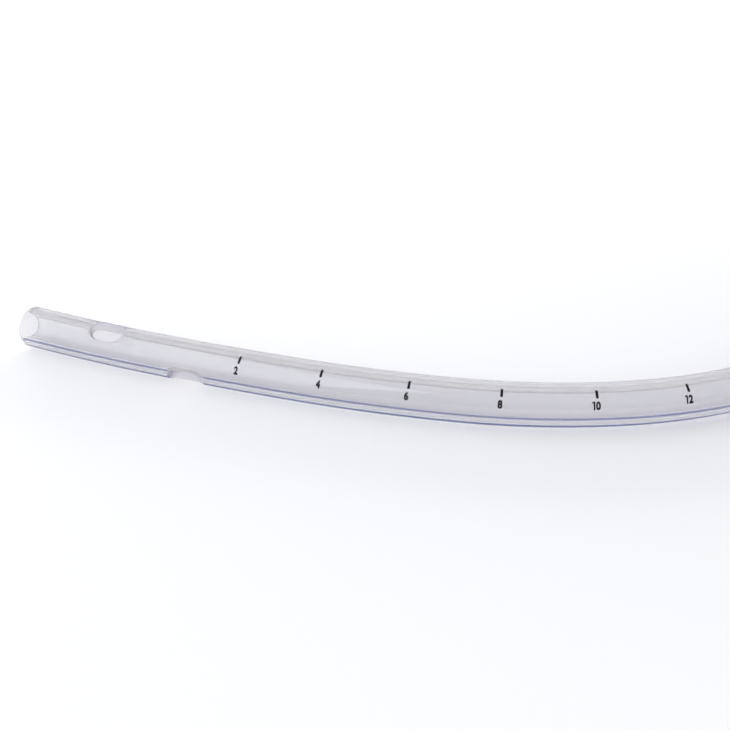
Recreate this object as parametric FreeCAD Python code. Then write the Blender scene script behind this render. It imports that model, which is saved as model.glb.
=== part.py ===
import FreeCAD, Part
import math
import os

# Chest drainage tube: one length of soft clear tube, lying in its own set curve on a flat surface.
# Millimetres, +Z up. The tip points along +Y, the connector end points along +X,
# and the finished tube is moved so that the middle of its footprint is at the origin.

# Tube wall
tube_diameter = 10.0
lumen_diameter = 6.0
tube_length = 450.0

# Curve of the centre line, from the tip: a straight tip, then bends that turn left one after another.
# Each bend has its radius and the angle that it turns through, and a straight run takes up what is left.
tip_run = 10.0
bend_radii = [330.0, 600.0, 245.0, 113.0, 88.0, 150.0, 430.0]
bend_angles = [4.0, 4.0, 8.5, 18.0, 27.0, 14.5, 14.0]

# Rounded edges of the two cut ends
tip_outer_round = 1.0
tip_inner_round = 0.4
connector_end_round = 0.3

# Drainage eyes: a hole through one side of the wall, with its middle this far from the tip.
# An eye's direction is measured from straight up, round the outside of the curve.
eye_length = 8.8
eye_width_angle = 78.0
first_eye_place = 25.0
first_eye_direction = 17.0
last_eye_place = 47.0
last_eye_direction = 135.0

# An eye's outline is an oval with full corners: a power of 2 is a plain ellipse, and a higher one is squarer
eye_power = 3.0
eye_outline_points = 48

# The plug that cuts an eye: where it starts above the tube's axis, and how far it stands out of the wall
eye_plug_bottom = 0.8
eye_plug_rise = 2.0

# Radiopaque line: a coloured strip inside the wall, from one end of the tube to the other
line_width = 0.9
line_thickness = 0.4
line_cover = 0.2
line_direction = 138.0

# Worked out from the sizes above
tube_radius = tube_diameter / 2
lumen_radius = lumen_diameter / 2
line_outer_radius = tube_radius - line_cover
line_inner_radius = line_outer_radius - line_thickness
start_heading = -90.0

# Two lengths closer than this are taken as the same
same = 0.001


def on_heading(heading, forward, left=0.0, up=0.0):
    """A vector that goes forward along a compass heading in the XY plane, to the left of it, and up."""
    turn = math.radians(heading)
    x = forward * math.cos(turn) - left * math.sin(turn)
    y = forward * math.sin(turn) + left * math.cos(turn)
    return FreeCAD.Vector(x, y, up)


def centre_line():
    """The runs of the centre line in order, each with its start, heading, length and bend radius."""
    runs = []
    here = FreeCAD.Vector(0, 0, tube_radius)
    heading = start_heading
    runs.append({"start": here, "heading": heading, "length": tip_run, "radius": None})
    here = here + on_heading(heading, tip_run)
    for radius, angle in zip(bend_radii, bend_angles):
        length = radius * math.radians(angle)
        runs.append({"start": here, "heading": heading, "length": length, "radius": radius})
        centre = here + on_heading(heading, 0, left=radius)
        heading = heading + angle
        here = centre + on_heading(heading, 0, left=-radius)
    used = sum(run["length"] for run in runs)
    end_run = tube_length - used
    runs.append({"start": here, "heading": heading, "length": end_run, "radius": None})
    return runs


def along(runs, place):
    """The point on the centre line at a distance from the tip, and the heading there."""
    for run in runs:
        if place <= run["length"] or run is runs[-1]:
            break
        place = place - run["length"]
    if run["radius"] is None:
        return run["start"] + on_heading(run["heading"], place), run["heading"]
    centre = run["start"] + on_heading(run["heading"], 0, left=run["radius"])
    heading = run["heading"] + math.degrees(place / run["radius"])
    return centre + on_heading(heading, 0, left=-run["radius"]), heading


def set_across(shape, point, heading):
    """Moves a shape drawn round the X axis, so that X becomes the heading at a point of the centre line."""
    turn = FreeCAD.Rotation(FreeCAD.Vector(0, 0, 1), heading)
    moved = shape.copy()
    moved.Placement = FreeCAD.Placement(point, turn).multiply(moved.Placement)
    return moved


def swept(section, run):
    """A section drawn round the X axis, carried along one run of the centre line."""
    placed = set_across(section, run["start"], run["heading"])
    if run["radius"] is None:
        return placed.extrude(on_heading(run["heading"], run["length"]))
    centre = run["start"] + on_heading(run["heading"], 0, left=run["radius"])
    angle = math.degrees(run["length"] / run["radius"])
    return placed.revolve(centre, FreeCAD.Vector(0, 0, 1), angle)


def disc(radius):
    """A round face across the X axis."""
    edge = Part.makeCircle(radius, FreeCAD.Vector(0, 0, 0), FreeCAD.Vector(1, 0, 0))
    return Part.Face(Part.Wire(edge))


def round_the_tube(radius, direction):
    """A point across the X axis at a radius, turned from straight up round the outside of the curve."""
    turn = math.radians(direction)
    return FreeCAD.Vector(0, -radius * math.sin(turn), radius * math.cos(turn))


def arc_round_the_tube(radius, first, middle, last):
    """An arc about the X axis through three directions."""
    points = [round_the_tube(radius, direction) for direction in (first, middle, last)]
    return Part.Arc(*points).toShape()


def line_section():
    """The radiopaque line's own section: a short band that follows the wall."""
    middle_radius = (line_inner_radius + line_outer_radius) / 2
    half_angle = math.degrees(line_width / middle_radius / 2)
    low = line_direction - half_angle
    high = line_direction + half_angle
    inner = arc_round_the_tube(line_inner_radius, low, line_direction, high)
    outer = arc_round_the_tube(line_outer_radius, low, line_direction, high)
    sides = []
    for direction in (low, high):
        foot = round_the_tube(line_inner_radius, direction)
        head = round_the_tube(line_outer_radius, direction)
        sides.append(Part.makeLine(foot, head))
    return Part.Face(Part.Wire([inner, sides[1], outer, sides[0]]))


def rounded(solid, point, radius, edge_round):
    """Rounds the circular edge of a given radius about a point of the centre line."""
    chosen = []
    for edge in solid.Edges:
        if not isinstance(edge.Curve, Part.Circle):
            continue
        if (edge.Curve.Center - point).Length < same and abs(edge.Curve.Radius - radius) < same:
            chosen.append(edge)
    return solid.makeFillet(edge_round, chosen)


def eye_outline(half_length, half_width, height):
    """A smooth closed outline across the Z axis, with its length along X and full corners."""
    points = []
    for count in range(eye_outline_points):
        turn = 2 * math.pi * count / eye_outline_points
        x = math.copysign(abs(math.cos(turn)) ** (2 / eye_power), math.cos(turn))
        y = math.copysign(abs(math.sin(turn)) ** (2 / eye_power), math.sin(turn))
        points.append(FreeCAD.Vector(half_length * x, half_width * y, height))
    curve = Part.BSplineCurve()
    curve.interpolate(Points=points, PeriodicFlag=True)
    return Part.Wire(curve.toShape())


def eye_cutter(runs, place, direction):
    """A plug that widens outwards, so that an eye's two long sides point at the tube's axis."""
    slope = math.tan(math.radians(eye_width_angle / 2))
    bottom = eye_plug_bottom
    top = tube_radius + eye_plug_rise
    inner = eye_outline(eye_length / 2, bottom * slope, bottom)
    outer = eye_outline(eye_length / 2, top * slope, top)
    plug = Part.makeLoft([inner, outer], True, True)
    plug.rotate(FreeCAD.Vector(0, 0, 0), FreeCAD.Vector(1, 0, 0), direction)
    point, heading = along(runs, place)
    return set_across(plug, point, heading)


def fused(solids):
    """One solid from runs that meet end to end."""
    return solids[0].multiFuse(solids[1:])


def wall_pieces(runs):
    """The wall of each run, before the line's channel and the eyes, with the end edges rounded."""
    ring = disc(tube_radius).cut(disc(lumen_radius)).Faces[0]
    pieces = [swept(ring, run) for run in runs]
    tip_point = along(runs, 0)[0]
    end_point = along(runs, tube_length)[0]
    pieces[0] = rounded(pieces[0], tip_point, tube_radius, tip_outer_round)
    pieces[0] = rounded(pieces[0], tip_point, lumen_radius, tip_inner_round)
    pieces[-1] = rounded(pieces[-1], end_point, tube_radius, connector_end_round)
    return pieces


runs = centre_line()
for run in runs:
    print("run", round(run["length"], 1), "mm, radius", run["radius"], "heading", round(run["heading"], 1))

# Each run's wall is cut where the line lies in it, and the line takes exactly what was cut
walls = wall_pieces(runs)
bands = [swept(line_section(), run) for run in runs]
tube = fused([wall.cut(band) for wall, band in zip(walls, bands)])
line = fused([wall.common(band) for wall, band in zip(walls, bands)])

# The eyes go through the wall, and the last one takes a length of the line with it
for place, direction in ((first_eye_place, first_eye_direction), (last_eye_place, last_eye_direction)):
    plug = eye_cutter(runs, place, direction)
    tube = tube.cut(plug)
    line = line.cut(plug)

# The middle of the footprint goes to the origin, and the tube stays on the surface at Z = 0
footprint = tube.optimalBoundingBox(False, False)
to_middle = FreeCAD.Vector(-footprint.Center.x, -footprint.Center.y, 0)
os.makedirs("parts", exist_ok=True)
for name, shape in (("drainage_tube", tube), ("radiopaque_line", line)):
    shape.translate(to_middle)
    shape.exportStep("parts/" + name + ".step")
    print(name, len(shape.Solids), "solids, valid", shape.isValid(), "volume", round(shape.Volume, 2))

ring_area = math.pi * (tube_radius ** 2 - lumen_radius ** 2)
print("ring section times length", round(ring_area * tube_length, 1))
print("tip at", along(runs, 0)[0] + to_middle)
print("connector end at", along(runs, tube_length)[0] + to_middle)
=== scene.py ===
# %% [markdown]
# # A clear chest drainage tube, dressed for the camera
#
# The object is one length of soft, clear tube that lies in its own gentle curve on a pale table. Its tip is open and
# rounded, two oval eyes are cut through its side, a thin blue line runs inside its wall, and black depth marks are
# printed on it every two centimetres.
#
# A tube can be modelled by drawing a ring and sweeping it along a curve, but then the eyes have to be cut out of a
# surface that is already bent. Here it is made the other way round. The wall is first modelled as a flat sheet, where
# holes, rounded edges, print and the blue line are easy to draw. A short function then rolls the sheet up and lays it
# along the curve. Everything that is drawn on the sheet goes with it and stays in its right place.

# %% The frame
import bpy
import math
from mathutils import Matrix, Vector


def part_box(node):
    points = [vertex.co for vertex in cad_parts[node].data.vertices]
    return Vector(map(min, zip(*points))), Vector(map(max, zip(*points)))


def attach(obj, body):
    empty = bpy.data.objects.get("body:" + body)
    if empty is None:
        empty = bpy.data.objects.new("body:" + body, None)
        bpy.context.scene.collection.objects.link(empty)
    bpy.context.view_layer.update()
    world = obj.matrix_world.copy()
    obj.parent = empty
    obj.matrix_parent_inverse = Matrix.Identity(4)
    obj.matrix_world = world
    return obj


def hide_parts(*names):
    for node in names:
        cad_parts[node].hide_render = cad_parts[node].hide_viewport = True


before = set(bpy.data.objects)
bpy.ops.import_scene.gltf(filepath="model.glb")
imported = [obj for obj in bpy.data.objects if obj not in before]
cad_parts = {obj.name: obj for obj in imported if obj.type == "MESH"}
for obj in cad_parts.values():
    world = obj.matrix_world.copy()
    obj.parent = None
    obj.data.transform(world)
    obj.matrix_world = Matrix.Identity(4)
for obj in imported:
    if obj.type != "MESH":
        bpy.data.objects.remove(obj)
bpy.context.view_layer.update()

# %% [markdown]
# ## Sizes
#
# The sizes are those of the solid model, in metres. The marks say how deep the last eye lies, so the first mark is at
# a set distance from the tip, and the others follow every 20 mm. Places along the tube are measured from the tip, and
# places round it as an angle from straight up, towards the outside of the curve.

# %% Sizes of the tube
MM = 0.001
tube_radius = 5.0 * MM
lumen_radius = 3.0 * MM
wall = tube_radius - lumen_radius
tube_length = 450.0 * MM
girth = 2 * math.pi * tube_radius

eye_length = 8.8 * MM
eye_half_angle = 39.0
eye_power = 3.0
eyes = [(25.0 * MM, 17.0), (47.0 * MM, 135.0)]
first_eye, last_eye = eyes[0][0], eyes[1][0]

tip_outer_round = 1.0 * MM
tip_inner_round = 0.4 * MM
end_round = 0.3 * MM
eye_outer_round = 0.2 * MM
eye_inner_round = 0.15 * MM

line_direction = 138.0
line_angle = 11.2
line_cover = 0.2 * MM
line_thickness = 0.4 * MM

first_mark = 61.2 * MM
mark_step = 20.0 * MM
mark_count = 10
mark_direction = 36.0
number_direction = 66.0

hair = 0.01 * MM
smooth_angle = math.radians(35)
print("wall", round(wall / MM, 2), "mm, girth", round(girth / MM, 2), "mm")

# %% [markdown]
# ## The curve that the tube lies in
#
# The centre line is a straight tip, seven bends to the left and a straight end. Each bend is part of a circle, so the
# point at any distance from the tip can be worked out exactly, with no curve object to sample. The tip points along +Y
# and the tube is drawn from there, so the first heading is minus 90 degrees.

# %% The centre line
start_heading = math.radians(-90)
tip_run = 10.0 * MM
bend_radii = [330.0 * MM, 600.0 * MM, 245.0 * MM, 113.0 * MM, 88.0 * MM, 150.0 * MM, 430.0 * MM]
bend_angles = [4.0, 4.0, 8.5, 18.0, 27.0, 14.5, 14.0]


def heading_vectors(heading):
    """The forward direction and the direction to its left, for a heading in radians."""
    forward = Vector((math.cos(heading), math.sin(heading), 0))
    left = Vector((-math.sin(heading), math.cos(heading), 0))
    return forward, left


def centre_line():
    """The runs of the centre line from the tip: start, heading, length and radius (0 where straight)."""
    runs = []
    here = Vector((0, 0, tube_radius))
    heading = start_heading
    runs.append((here, heading, tip_run, 0))
    here = here + heading_vectors(heading)[0] * tip_run
    for radius, angle in zip(bend_radii, bend_angles):
        turn = math.radians(angle)
        runs.append((here, heading, radius * turn, radius))
        middle = here + heading_vectors(heading)[1] * radius
        heading = heading + turn
        here = middle - heading_vectors(heading)[1] * radius
    runs.append((here, heading, tube_length - sum(run[2] for run in runs), 0))
    return runs


runs = centre_line()
for start, heading, length, radius in runs:
    print("run of", round(length / MM, 1), "mm, radius", round(radius / MM), "heading", round(math.degrees(heading), 1))


# %% Places along the centre line
def along(place):
    """The point on the centre line at a distance from the tip, and the direction to its left."""
    for start, heading, length, radius in runs:
        if place <= length or start == runs[-1][0]:
            break
        place = place - length
    forward, left = heading_vectors(heading)
    if radius == 0:
        return start + forward * place, left
    middle = start + left * radius
    left = heading_vectors(heading + place / radius)[1]
    return middle - left * radius, left


def on_tube(place, round_it, lift):
    """Where a point of the flat sheet goes: along the tube, round its outside and above its surface."""
    point, left = along(place)
    angle = round_it / tube_radius
    out = tube_radius + lift
    return point + left * (out * math.sin(angle)) + Vector((0, 0, out * math.cos(angle)))


def round_to(direction):
    """The place on the sheet, across it, of a direction in degrees from straight up."""
    return -math.radians(direction) * tube_radius


far_end = along(tube_length)[0]
print("from tip to connector end:", tuple(round(v / MM, 2) for v in far_end))

# %% [markdown]
# The solid model has the middle of its footprint at the origin. Its box gives the shift that brings this curve to the
# same place: the connector end is the largest X, and the outside of the last straight run is the smallest Y.

# %% Bring the curve to its place
low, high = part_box("drainage_tube")
shift = Vector((high[0] - far_end.x, low[1] - (far_end.y - tube_radius), 0))
runs = [(start + shift, heading, length, radius) for start, heading, length, radius in runs]
print("tip at", tuple(round(v / MM, 2) for v in along(0)[0]))


# %% [markdown]
# ## Hand tools
#
# These few helpers do what a hand does between two menu commands: let go of everything, pick points by their place,
# and go in and out of edit mode.

# %% Helpers for selecting
def let_go():
    """Nothing is selected and nothing is active."""
    bpy.ops.object.select_all(action="DESELECT")
    bpy.context.view_layer.objects.active = None


def take(piece):
    """Only this piece is selected and active."""
    let_go()
    piece.select_set(True)
    bpy.context.view_layer.objects.active = piece


def pick(piece, kind, wanted):
    """In edit mode, selects the vertices, edges or faces whose vertices all pass the test."""
    bpy.ops.mesh.select_mode(type=kind)
    bpy.ops.mesh.select_all(action="DESELECT")
    bpy.ops.object.mode_set(mode="OBJECT")
    mesh = piece.data
    parts = {"VERT": mesh.vertices, "EDGE": mesh.edges, "FACE": mesh.polygons}[kind]
    count = 0
    for part in parts:
        points = [part.co] if kind == "VERT" else [mesh.vertices[i].co for i in part.vertices]
        if all(wanted(p) for p in points):
            part.select = True
            count += 1
    bpy.ops.object.mode_set(mode="EDIT")
    return count


def flat_grid(name, x_low, x_high, y_low, y_high, x_cells, y_cells, lift=0.0):
    """A flat grid on the sheet, as an object at the origin with its place in its mesh."""
    let_go()
    middle = ((x_low + x_high) / 2, (y_low + y_high) / 2, lift)
    bpy.ops.mesh.primitive_grid_add(x_subdivisions=x_cells, y_subdivisions=y_cells, size=1, location=middle)
    piece = bpy.context.object
    piece.name = name
    piece.scale = (x_high - x_low, y_high - y_low, 1)
    bpy.ops.object.transform_apply(location=True, rotation=True, scale=True)
    return piece


def join(pieces):
    """Pieces joined into the first one."""
    take(pieces[0])
    for piece in pieces[1:]:
        piece.select_set(True)
    bpy.ops.object.join()
    return pieces[0]


def thicken(piece, thickness):
    """Gives a flat sheet its thickness downwards, and applies it."""
    take(piece)
    bpy.ops.object.modifier_add(type="SOLIDIFY")
    piece.modifiers[-1].thickness = thickness
    piece.modifiers[-1].offset = -1
    bpy.ops.object.modifier_apply(modifier=piece.modifiers[-1].name)


def roll_up(piece):
    """Rolls a flat piece round the tube and lays it along the centre line."""
    for vertex in piece.data.vertices:
        vertex.co = on_tube(*vertex.co)
    piece.data.update()


# %% [markdown]
# ## The wall, flat
#
# The sheet is as long as the tube and as wide as its girth, with its seam on the inside of the curve, away from the
# eyes. Cells are half a millimetre long near the tip, where the eyes are, a little over one millimetre through the
# bends, and ten millimetres in the straight run at the end. The last cell at each end leaves room for the rounded
# edge.

# %% The sheet
cells_round = 96
cells_near_tip = 137
cells_in_bends = 220
cells_in_straight = 12
fine_start = 1.5 * MM
fine_end = 70.0 * MM
straight_end = tube_length - 1.0 * MM
straight_start = tube_length - runs[-1][2]
seam_high = round_to(-90.0)
seam_low = seam_high - girth
stretches = [
    ("tube_wall", fine_start, fine_end, cells_near_tip),
    ("wall_in_bends", fine_end, straight_start, cells_in_bends),
    ("straight_wall", straight_start, straight_end, cells_in_straight),
]
walls = []
for name, start, end, cells in stretches:
    walls.append(flat_grid(name, start, end, seam_low, seam_high, cells, cells_round))
tube = join(walls)
bpy.ops.object.mode_set(mode="EDIT")
bpy.ops.mesh.select_all(action="SELECT")
bpy.ops.mesh.remove_doubles(threshold=hair)
pick(tube, "EDGE", lambda p: p.x < fine_start + hair)
bpy.ops.mesh.extrude_edges_move(TRANSFORM_OT_translate={"value": (-fine_start, 0, 0)})
pick(tube, "EDGE", lambda p: p.x > straight_end - hair)
bpy.ops.mesh.extrude_edges_move(TRANSFORM_OT_translate={"value": (tube_length - straight_end, 0, 0)})
bpy.ops.object.mode_set(mode="OBJECT")
places = [v.co.x / MM for v in tube.data.vertices]
print("flat sheet:", len(tube.data.polygons), "faces, from", round(min(places), 2), "to", round(max(places), 2), "mm")

# %% [markdown]
# ## The eyes
#
# An eye is an oval hole. A boolean would leave long thin triangles round it, which show as creases in clear plastic.
# So a window of cells is taken out, a circle with just as many points is drawn in it and squared up to the eye's full
# outline, and the two outlines are bridged. The circle stands a little above the sheet for that, because two outlines
# in one plane may be bridged crosswise, and is lowered afterwards. The oval is then extruded inwards in two steps, so
# that the cells run neatly round the hole.

# %% Punch the eyes in the sheet
eye_half_length = eye_length / 2
eye_half_width = math.radians(eye_half_angle) * tube_radius
eye_ring = 0.45 * MM
eye_rings = 2
eye_margin = (eye_rings + 1) * eye_ring
circle_lift = 1.0 * MM
outline_slack = 0.001


def fuller(value):
    """A sine or cosine that makes an oval with full corners, by the same rule as the solid model's."""
    return math.copysign(abs(value) ** (2 / eye_power), value)


def square_up(piece, middle, long_half, wide_half):
    """Turns the picked circle into an oval with full corners."""
    bpy.ops.object.mode_set(mode="OBJECT")
    for vertex in piece.data.vertices:
        if not vertex.select:
            continue
        turn = math.atan2(vertex.co.y - middle[1], vertex.co.x - middle[0])
        vertex.co.x = middle[0] + long_half * fuller(math.cos(turn))
        vertex.co.y = middle[1] + wide_half * fuller(math.sin(turn))
    bpy.ops.object.mode_set(mode="EDIT")


def oval_measure(p, place, across, long_half, wide_half):
    """1 for a point on the outline of such an oval, less inside it and more outside."""
    along_it = abs(p.x - place) / long_half
    across_it = abs(p.y - across) / wide_half
    return along_it**eye_power + across_it**eye_power


def on_oval(p, place, across, long_half, wide_half):
    """True for a point on the outline of such an oval."""
    return abs(oval_measure(p, place, across, long_half, wide_half) - 1) < outline_slack


def punch_eye(piece, place, across):
    """Cuts one oval hole with its middle at a place of the flat sheet."""
    reach_x = eye_half_length + eye_margin
    reach_y = eye_half_width + eye_margin
    take(piece)
    bpy.ops.object.mode_set(mode="EDIT")
    pick(piece, "FACE", lambda p: abs(p.x - place) < reach_x and abs(p.y - across) < reach_y)
    bpy.ops.object.mode_set(mode="OBJECT")
    mesh = piece.data
    corners = [mesh.vertices[i].co for face in mesh.polygons if face.select for i in face.vertices]
    x_low = min(c.x for c in corners) - hair
    x_high = max(c.x for c in corners) + hair
    y_low = min(c.y for c in corners) - hair
    y_high = max(c.y for c in corners) + hair
    bpy.ops.object.mode_set(mode="EDIT")
    bpy.ops.mesh.delete(type="FACE")

    def in_window(p):
        return x_low < p.x < x_high and y_low < p.y < y_high

    outline = pick(piece, "EDGE", in_window)
    middle = (place, across, 0)
    raised = (place, across, circle_lift)
    long_half = eye_half_length + eye_rings * eye_ring
    wide_half = eye_half_width + eye_rings * eye_ring
    bpy.ops.mesh.primitive_circle_add(vertices=outline, radius=long_half, location=raised)
    square_up(piece, raised, long_half, wide_half)
    pick(piece, "EDGE", in_window)
    bpy.ops.mesh.bridge_edge_loops()
    pick(piece, "VERT", lambda p: p.z > hair)
    bpy.ops.transform.translate(value=(0, 0, -circle_lift))
    pick(piece, "EDGE", lambda p: on_oval(p, place, across, long_half, wide_half))
    for ring in range(eye_rings):
        smaller = ((long_half - eye_ring) / long_half, (wide_half - eye_ring) / wide_half, 1)
        bpy.ops.mesh.extrude_edges_move()
        bpy.ops.transform.resize(value=smaller, center_override=middle)
        long_half = long_half - eye_ring
        wide_half = wide_half - eye_ring
    bpy.ops.object.mode_set(mode="OBJECT")
    print("eye at", round(place / MM), "mm, with", outline, "points round it")


for place, direction in eyes:
    punch_eye(tube, place, round_to(direction))

# %% [markdown]
# ## Thickness and rounded edges
#
# Solidify gives the sheet the wall's thickness. It also closes the two long sides, which will meet when the sheet is
# rolled, so those faces go again. The tip's rim is rounded well, because it is pushed between ribs, and the eyes have
# a small round where the punch has been.

# %% Give the wall its thickness
take(tube)
bpy.ops.object.mode_set(mode="EDIT")
bpy.ops.mesh.select_all(action="SELECT")
bpy.ops.mesh.normals_make_consistent(inside=False)
bpy.ops.object.mode_set(mode="OBJECT")
if tube.data.polygons[0].normal.z < 0:
    bpy.ops.object.mode_set(mode="EDIT")
    bpy.ops.mesh.flip_normals()
    bpy.ops.object.mode_set(mode="OBJECT")
thicken(tube, wall)
bpy.ops.object.mode_set(mode="EDIT")
for seam in (seam_low, seam_high):
    print("seam faces:", pick(tube, "FACE", lambda p: abs(p.y - seam) < hair))
    bpy.ops.mesh.delete(type="FACE")
bpy.ops.object.mode_set(mode="OBJECT")


# %% Round the edges
def round_edges(piece, size, steps, wanted):
    """Bevels the edges of the flat piece that pass the test."""
    take(piece)
    bpy.ops.object.mode_set(mode="EDIT")
    count = pick(piece, "EDGE", wanted)
    bpy.ops.mesh.bevel(offset=size, offset_type="OFFSET", segments=steps, profile=0.5, affect="EDGES")
    bpy.ops.object.mode_set(mode="OBJECT")
    print("rounded", count, "edges by", round(size / MM, 2), "mm")


outside = -hair
inside = hair - wall
round_edges(tube, tip_outer_round, 7, lambda p: p.x < hair and p.z > outside)
round_edges(tube, tip_inner_round, 4, lambda p: p.x < hair and p.z < inside)
round_edges(tube, end_round, 4, lambda p: p.x > tube_length - hair and p.z > outside)
for place, direction in eyes:
    across = round_to(direction)

    def on_eye(p):
        return on_oval(p, place, across, eye_half_length, eye_half_width)

    round_edges(tube, eye_outer_round, 3, lambda p: p.z > outside and on_eye(p))
    round_edges(tube, eye_inner_round, 2, lambda p: p.z < inside and on_eye(p))

# %% [markdown]
# ## Roll it up
#
# Soft plastic is a little milky, more so on the lumen's side and most of all where it has been cut. How milky each
# point is gets written into the mesh while the wall is flat and the points are easy to tell, and the material reads
# it later. The lumen's wall behind the first eye is made milkier too, which is painted shade: it greys what is seen
# through the eye, so that the eye stays as faint as in the photograph, where one can hardly tell it from the wall round
# it. The camera looks through the eye slightly towards the tip, so that patch reaches further that way.
#
# Rolling moves each point of the sheet to its place round the centre line. The two long sides come together and are
# merged, so the wall is one closed skin with its inside and outside in the right order, which clear plastic needs.

# %% How milky each point is, and the painted shade behind the first eye
outside_haze = 0.14
lumen_haze = 0.25
cut_haze = 0.85
tip_haze = 0.2
# Painted shade: the lumen behind the first eye is made milkier and so greyer, which darkens what is seen through the
# eye.
painted_shade_behind_eye = 0.7
cut_slack = 0.01
# Where that painted shade lies on the sheet.
patch_slant = 5.0 * MM
patch_start = first_eye - eye_half_length - patch_slant
patch_end = first_eye + eye_half_length
patch_top = round_to(-35)
patch_bottom = round_to(255)


def in_an_eye(p):
    """True for a point on the cut side of an eye."""
    for place, direction in eyes:
        if oval_measure(p, place, round_to(direction), eye_half_length, eye_half_width) < 1 + cut_slack:
            return True
    return False


def in_painted_shade_behind_eye(p):
    """True for a point of the lumen that shows through the first eye, where shade is painted as a milkier patch. The
    sheet's seam lies within that patch.
    """
    return patch_start < p.x < patch_end and (p.y > patch_top or p.y < patch_bottom)


haze_and_shade = tube.data.attributes.new("haze_and_shade", "FLOAT", "POINT")
cut_points = 0
for vertex in tube.data.vertices:
    value = lumen_haze if vertex.co.z < inside else outside_haze
    if in_an_eye(vertex.co):
        value = cut_haze
        cut_points += 1
    elif vertex.co.x < hair:
        value = tip_haze
    # Painted shade behind the first eye, as a milkier patch of the lumen.
    elif value == lumen_haze and in_painted_shade_behind_eye(vertex.co):
        value = painted_shade_behind_eye
    haze_and_shade.data[vertex.index].value = value
print("points on the eyes' cut sides:", cut_points)

# %% Roll the wall
seam_match = 0.004 * MM
roll_up(tube)
take(tube)
bpy.ops.object.mode_set(mode="EDIT")
bpy.ops.mesh.select_all(action="SELECT")
bpy.ops.mesh.remove_doubles(threshold=seam_match)
bpy.ops.mesh.select_all(action="DESELECT")
bpy.ops.mesh.select_mode(type="VERT")
bpy.ops.mesh.select_non_manifold()
bpy.ops.object.mode_set(mode="OBJECT")
open_points = sum(v.select for v in tube.data.vertices)
bpy.ops.object.shade_smooth_by_angle(angle=smooth_angle)
print("wall:", len(tube.data.polygons), "faces,", open_points, "open points")

# %% [markdown]
# ## The blue line
#
# The line is a strip of another plastic, drawn into the wall as the tube is made. It lies under a thin skin of clear
# plastic, and the last eye cuts it in two. It is a flat strip here, with its own thickness, rolled as the wall is. At
# the tip its upper edge is set back, so that it stays inside the rounded rim.

# %% The line's two lengths
line_half_width = math.radians(line_angle / 2) * tube_radius
line_across = round_to(line_direction)
line_start = 0.1 * MM
line_end = tube_length - 0.03 * MM
line_gap = 4.7 * MM
set_back = 0.32 * MM
y_low = line_across - line_half_width
y_high = line_across + line_half_width
cells_across = 6
lengths = [(line_start, last_eye - line_gap, 28), (last_eye + line_gap, line_end, 260)]
strips = []
for start, end, cells in lengths:
    strips.append(flat_grid("line_in_wall", start, end, y_low, y_high, cells, cells_across, lift=-line_cover))
line = join(strips)
thicken(line, line_thickness)
bpy.ops.object.mode_set(mode="EDIT")
pick(line, "VERT", lambda p: p.x < line_start + hair and p.z > -line_cover - hair)
bpy.ops.transform.translate(value=(set_back, 0, 0))
bpy.ops.object.mode_set(mode="OBJECT")
roll_up(line)
bpy.ops.object.shade_smooth_by_angle(angle=smooth_angle)
print("line:", len(line.data.polygons), "faces")

# %% [markdown]
# ## The printed marks
#
# The ink is a skin with no thickness worth modelling. It lies two hundredths of a millimetre above the wall, so that
# the two never fight for the same place. Each figure is text turned into a mesh, stretched to the printed height and
# width, then cut into narrow bands, because a flat figure can't follow a curved wall. The printed 1 is a plain upright
# with a short flag, so it is drawn from two small grids. The figures of a number stand side by side along the tube.

# %% The ticks
ink_lift = 0.02 * MM
tick_length = 2.0 * MM
tick_width = 0.57 * MM
y_low = round_to(mark_direction) - tick_length / 2
ink = []
for count in range(mark_count):
    place = first_mark + count * mark_step
    x_low = place - tick_width / 2
    ink.append(flat_grid("tick", x_low, x_low + tick_width, y_low, y_low + tick_length, 2, 10, lift=ink_lift))
print(len(ink), "ticks, the last at", round(place / MM, 1), "mm")

# %% The figures
figure_height = 1.9 * MM
figure_width = 1.02 * MM
figure_gap = 0.14 * MM
one_width = 0.66 * MM
number_shift = -0.25 * MM
stroke = 0.34 * MM
flag_drop = 0.3 * MM
band = 0.2 * MM
boldness = 0.05


def figure_one(place, across):
    """The figure 1: an upright stroke, and a short one that comes down to the left from its top."""
    x_high = place + one_width / 2
    y_low = across - figure_height / 2
    upright = flat_grid("one", x_high - stroke, x_high, y_low, y_low + figure_height, 2, 10, lift=ink_lift)
    y_high = y_low + figure_height
    flag = flat_grid("flag", x_high - one_width, x_high - stroke, y_high - stroke, y_high, 2, 2, lift=ink_lift)
    bpy.ops.object.mode_set(mode="EDIT")
    pick(flag, "VERT", lambda p: p.x < x_high - one_width + hair)
    bpy.ops.transform.translate(value=(0, -flag_drop, 0))
    bpy.ops.object.mode_set(mode="OBJECT")
    return join([upright, flag])


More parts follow.
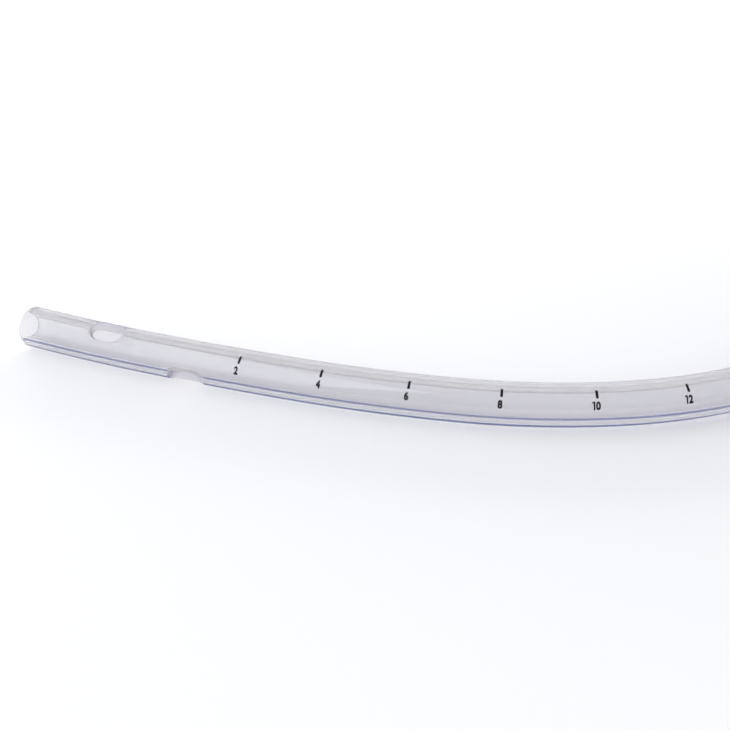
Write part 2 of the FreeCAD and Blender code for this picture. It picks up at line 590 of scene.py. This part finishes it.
def figure_on_sheet(words, place, across):
    """A printed figure as a flat mesh, with its middle at a place of the sheet."""
    if words == "1":
        return figure_one(place, across)
    let_go()
    bpy.ops.object.text_add(location=(0, 0, 0))
    text = bpy.context.object
    text.data.body = words
    text.data.offset = boldness
    text.data.resolution_u = 6
    bpy.ops.object.convert(target="MESH")
    piece = bpy.context.object
    piece.name = "figure_" + words
    corners = [v.co for v in piece.data.vertices]
    x_low, x_high = min(c.x for c in corners), max(c.x for c in corners)
    y_low, y_high = min(c.y for c in corners), max(c.y for c in corners)
    bpy.ops.object.mode_set(mode="EDIT")
    bpy.ops.mesh.select_all(action="SELECT")
    middle = ((x_low + x_high) / 2, (y_low + y_high) / 2, 0)
    bpy.ops.transform.translate(value=(-middle[0], -middle[1], 0))
    shrink = (figure_width / (x_high - x_low), figure_height / (y_high - y_low), 1)
    bpy.ops.transform.resize(value=shrink, center_override=(0, 0, 0))
    bpy.ops.transform.translate(value=(place, across, ink_lift))
    level = across - figure_height / 2 + band
    while level < across + figure_height / 2:
        bpy.ops.mesh.select_all(action="SELECT")
        bpy.ops.mesh.bisect(plane_co=(place, level, 0), plane_no=(0, 1, 0))
        level = level + band
    bpy.ops.object.mode_set(mode="OBJECT")
    return piece


# %% Print the numbers
for count in range(mark_count):
    words = str(2 * count + 2)
    widths = [one_width if figure == "1" else figure_width for figure in words]
    number_width = sum(widths) + figure_gap * (len(words) - 1)
    place = first_mark + count * mark_step + number_shift - number_width / 2
    for figure, width in zip(words, widths):
        ink.append(figure_on_sheet(figure, place + width / 2, round_to(number_direction)))
        place = place + width + figure_gap
marks = join(ink)
marks.name = "depth_marks"
roll_up(marks)
print("marks:", len(marks.data.polygons), "faces, numbers 2 to", 2 * mark_count)

# %% [markdown]
# ## The plastics and the ink
#
# Colours are written as they look, and turned into the numbers that the shader works with.
#
# Clear soft plastic does two things at once. Most of the light goes straight through and is bent on its way, which
# turns the blue line into two fine lines at the tube's lower edge. A little is scattered in every surface, which makes
# the tube look milky. So the glassy shader is mixed with a translucent one, and the milky share is the value that was
# written into the mesh. The surfaces stay smooth, because rough ones would blur the line.
#
# A shadow ray doesn't bend. For those rays the wall is plainly see-through and slightly grey, so the tube throws a
# soft grey shadow on the table, as the real one does, and not a black one.


# %% Colours
def paint(red, green, blue):
    """A colour of 0 to 255 as a picture shows it, as the shader's own numbers."""
    shown = [c / 255 for c in (red, green, blue)]
    return [c / 12.92 if c < 0.04045 else ((c + 0.055) / 1.055) ** 2.4 for c in shown] + [1]


def plain_material(name, colour, roughness):
    """A material with one plastic shader."""
    material = bpy.data.materials.new(name)
    material.use_nodes = True
    shader = material.node_tree.nodes["Principled BSDF"]
    shader.inputs["Base Color"].default_value = colour
    shader.inputs["Roughness"].default_value = roughness
    return material, shader


def math_node(nodes, operation, numbers=None):
    """A math node. The numbers go into the sockets that nothing is linked to."""
    node = nodes.new("ShaderNodeMath")
    node.operation = operation
    for socket, number in (numbers or {}).items():
        node.inputs[socket].default_value = number
    return node


print("mid grey in the shader's numbers:", round(paint(128, 128, 128)[0], 3))

# %% The clear plastic
pvc, pvc_shader = plain_material("clear PVC", paint(245, 245, 247), 0.04)
pvc_shader.inputs["IOR"].default_value = 1.53
pvc_shader.inputs["Transmission Weight"].default_value = 1.0
nodes, links = pvc.node_tree.nodes, pvc.node_tree.links
# The milky share read here also carries the painted shade behind the first eye.
milky_share_and_shade = nodes.new("ShaderNodeAttribute")
milky_share_and_shade.attribute_name = "haze_and_shade"
milk = nodes.new("ShaderNodeBsdfTranslucent")
milk.inputs["Color"].default_value = paint(209, 207, 208)
milky = nodes.new("ShaderNodeMixShader")
links.new(milky_share_and_shade.outputs["Fac"], milky.inputs["Fac"])
links.new(pvc_shader.outputs["BSDF"], milky.inputs[1])
links.new(milk.outputs["BSDF"], milky.inputs[2])
light_path = nodes.new("ShaderNodeLightPath")
through = nodes.new("ShaderNodeBsdfTransparent")
through.inputs["Color"].default_value = paint(200, 200, 208)
mix = nodes.new("ShaderNodeMixShader")
links.new(light_path.outputs["Is Shadow Ray"], mix.inputs["Fac"])
links.new(milky.outputs["Shader"], mix.inputs[1])
links.new(through.outputs["BSDF"], mix.inputs[2])
links.new(mix.outputs["Shader"], nodes["Material Output"].inputs["Surface"])
print("clear plastic:", len(nodes), "nodes")

# %% The blue plastic and the ink
blue = plain_material("blue line", paint(84, 104, 168), 0.5)[0]
black, black_shader = plain_material("black ink", paint(8, 8, 10), 0.6)
black_shader.inputs["Specular IOR Level"].default_value = 0.15
for piece, material in ((tube, pvc), (line, blue), (marks, black)):
    piece.data.materials.clear()
    piece.data.materials.append(material)
    print(piece.name, "is", material.name)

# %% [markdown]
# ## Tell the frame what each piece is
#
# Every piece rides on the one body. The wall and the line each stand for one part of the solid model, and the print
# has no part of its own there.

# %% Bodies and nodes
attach(tube, "root")
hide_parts("drainage_tube")
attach(line, "root")
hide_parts("radiopaque_line")
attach(marks, "root")
print("pieces:", tube.name, line.name, marks.name)

# %% [markdown]
# ## The table, the light and the camera
#
# The table is white and shows a soft shadow. A share of it glows, more where it is seen through the plastic or
# mirrored in it than where the camera sees it directly. That is the light that a white studio all round would give.
# Far from the tube the lamps don't reach the table, so there it glows by itself for the camera, and so does the sky.
#
# The key is large and dim and stands behind the tube, so the plastic mirrors it as a broad soft band. The card at the
# left lights the tip. The low lights are small, and throw the long soft shadows to both sides of the tube. The plastic
# doesn't mirror them, because their reflections would be hard white spots.

# %% The table
table_width = 6
glow_starts, glow_is_whole = 0.28, 0.55
let_go()
bpy.ops.mesh.primitive_plane_add(size=table_width, location=(0, 0, 0))
table = bpy.context.object
table.name = "Table"
table_material, table_shader = plain_material("white table", paint(252, 252, 254), 0.9)
table.data.materials.append(table_material)
nodes, links = table_material.node_tree.nodes, table_material.node_tree.links
light_path = nodes.new("ShaderNodeLightPath")
seen_in_tube = math_node(nodes, "MAXIMUM")
direct_share = math_node(nodes, "MULTIPLY", {1: 0.3})
share = math_node(nodes, "MULTIPLY_ADD", {1: 0.42})
links.new(light_path.outputs["Is Camera Ray"], direct_share.inputs[0])
links.new(light_path.outputs["Is Glossy Ray"], seen_in_tube.inputs[0])
links.new(light_path.outputs["Is Transmission Ray"], seen_in_tube.inputs[1])
links.new(seen_in_tube.outputs[0], share.inputs[0])
links.new(direct_share.outputs[0], share.inputs[2])

place_on_table = nodes.new("ShaderNodeTexCoord")
distance = nodes.new("ShaderNodeVectorMath")
distance.operation = "LENGTH"
far_away = nodes.new("ShaderNodeMapRange")
far_away.inputs["From Min"].default_value = glow_starts
far_away.inputs["From Max"].default_value = glow_is_whole
far_share = math_node(nodes, "MULTIPLY")
whole_share = math_node(nodes, "MAXIMUM")
links.new(place_on_table.outputs["Object"], distance.inputs[0])
links.new(distance.outputs["Value"], far_away.inputs["Value"])
links.new(far_away.outputs["Result"], far_share.inputs[0])
links.new(light_path.outputs["Is Camera Ray"], far_share.inputs[1])
links.new(far_share.outputs[0], whole_share.inputs[0])
links.new(share.outputs[0], whole_share.inputs[1])

glow = nodes.new("ShaderNodeEmission")
glow.inputs["Color"].default_value = (1, 1, 1, 1)
glow.inputs["Strength"].default_value = 1.1
mix = nodes.new("ShaderNodeMixShader")
links.new(whole_share.outputs[0], mix.inputs["Fac"])
links.new(table_shader.outputs["BSDF"], mix.inputs[1])
links.new(glow.outputs["Emission"], mix.inputs[2])
links.new(mix.outputs["Shader"], nodes["Material Output"].inputs["Surface"])
print("table:", len(nodes), "nodes")

# %% The sky
world = bpy.data.worlds.new("Studio")
bpy.context.scene.world = world
world.use_nodes = True
sky = world.node_tree.nodes["Background"]
sky.inputs["Color"].default_value = (0.955, 0.965, 1.0, 1)
nodes, links = world.node_tree.nodes, world.node_tree.links
light_path = nodes.new("ShaderNodeLightPath")
sky_strength = math_node(nodes, "MULTIPLY_ADD", {1: 1.0, 2: 0.17})
links.new(light_path.outputs["Is Camera Ray"], sky_strength.inputs[0])
links.new(sky_strength.outputs[0], sky.inputs["Strength"])
print("sky:", len(nodes), "nodes")

# %% The lamps
seen_middle = Vector((-0.10, 0.03, 0))
picture_left = Vector((-0.4776, 0.8786, 0))
picture_back = Vector((0.8786, 0.4776, 0))
lamp_colour = (0.975, 0.983, 1.0)


def from_middle(back, left, up=0):
    """A place given from the middle of what the camera sees, in the picture's own directions, in metres."""
    return seen_middle + picture_back * back + picture_left * left + Vector((0, 0, up))


def softbox(name, place, aim, size, watts, mirrored=True):
    """A square softbox that points at a place, and that the plastic may mirror or not."""
    bpy.ops.object.light_add(type="AREA", location=place)
    lamp = bpy.context.object
    lamp.name = name
    lamp.data.shape = "SQUARE"
    lamp.data.size = size
    lamp.data.energy = watts
    lamp.data.color = lamp_colour
    lamp.rotation_euler = (aim - place).to_track_quat("-Z", "Y").to_euler()
    lamp.visible_glossy = mirrored
    lamp.visible_transmission = mirrored
    print(name, "of", watts, "W,", size, "m wide")


softbox("Key", from_middle(0.47, 0.05, 0.52), from_middle(0, 0.05), 1.2, 3.3)
softbox("Left card", from_middle(-0.12, 0.45, 0.2), from_middle(0, 0), 0.8, 3.0)
softbox("Low light left", from_middle(0.65, 0.3, 0.1), from_middle(0, -0.1), 0.3, 3.4, mirrored=False)
softbox("Low light right", from_middle(0.65, -0.2, 0.1), from_middle(0, -0.15), 0.3, 5.0, mirrored=False)
softbox("Low light in front", from_middle(-0.6, -0.2, 0.1), from_middle(0, -0.15), 0.3, 2.7, mirrored=False)

# %% [markdown]
# The camera stands where the photographer's did, as far as the marks and the tube's edges tell. Clear plastic bends
# each ray many times, once at every surface, so the rays may bounce often.

# %% The camera
camera_place = Vector((-0.39038, -0.12114, 0.13976))
look_at = Vector((-0.12707, 0.02200, 0))
bpy.ops.object.camera_add(location=camera_place)
camera = bpy.context.object
camera.rotation_euler = (look_at - camera_place).to_track_quat("-Z", "Y").to_euler()
camera.data.sensor_width = 36
camera.data.lens = 67.49
camera.data.clip_start = 0.01
bpy.context.scene.camera = camera
bpy.context.scene.view_settings.view_transform = "Standard"
bpy.context.scene.cycles.max_bounces = 24
bpy.context.scene.cycles.glossy_bounces = 16
bpy.context.scene.cycles.transmission_bounces = 24
print("camera with a", round(camera.data.lens, 1), "mm lens")
